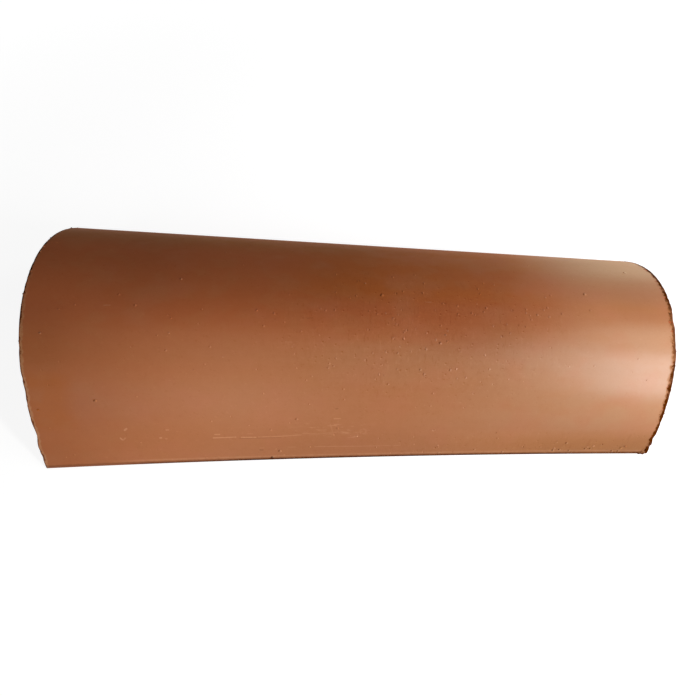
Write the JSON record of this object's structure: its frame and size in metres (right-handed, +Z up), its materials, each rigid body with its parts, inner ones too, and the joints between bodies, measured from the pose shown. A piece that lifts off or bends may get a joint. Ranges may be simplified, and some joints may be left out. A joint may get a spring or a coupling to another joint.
{
  "type": "clay roof tile",
  "caption": "Tapered curved clay roof tile: a barrel-shaped half pipe of unglazed terracotta, wider at its lower end, that laps over the tile below to shed rain.",
  "frame": {"origin": "on the floor under the middle of the tile's bounding box, which is mid-length between the two square-cut ends", "axes": "+X along the barrel from the wide end to the narrow end, +Y across it towards the straight eave, +Z up from the eaves to the crown; the tile stands hollow side down on its two eaves"},
  "size_m": [0.4, 0.189, 0.083],
  "materials": {
    "terracotta": "unglazed fired clay, matt, with fine extrusion streaks, pinholes and scuffs"
  },
  "bodies": {
    "root": {"barrel_tile": "terracotta"}
  },
  "joints": []
}
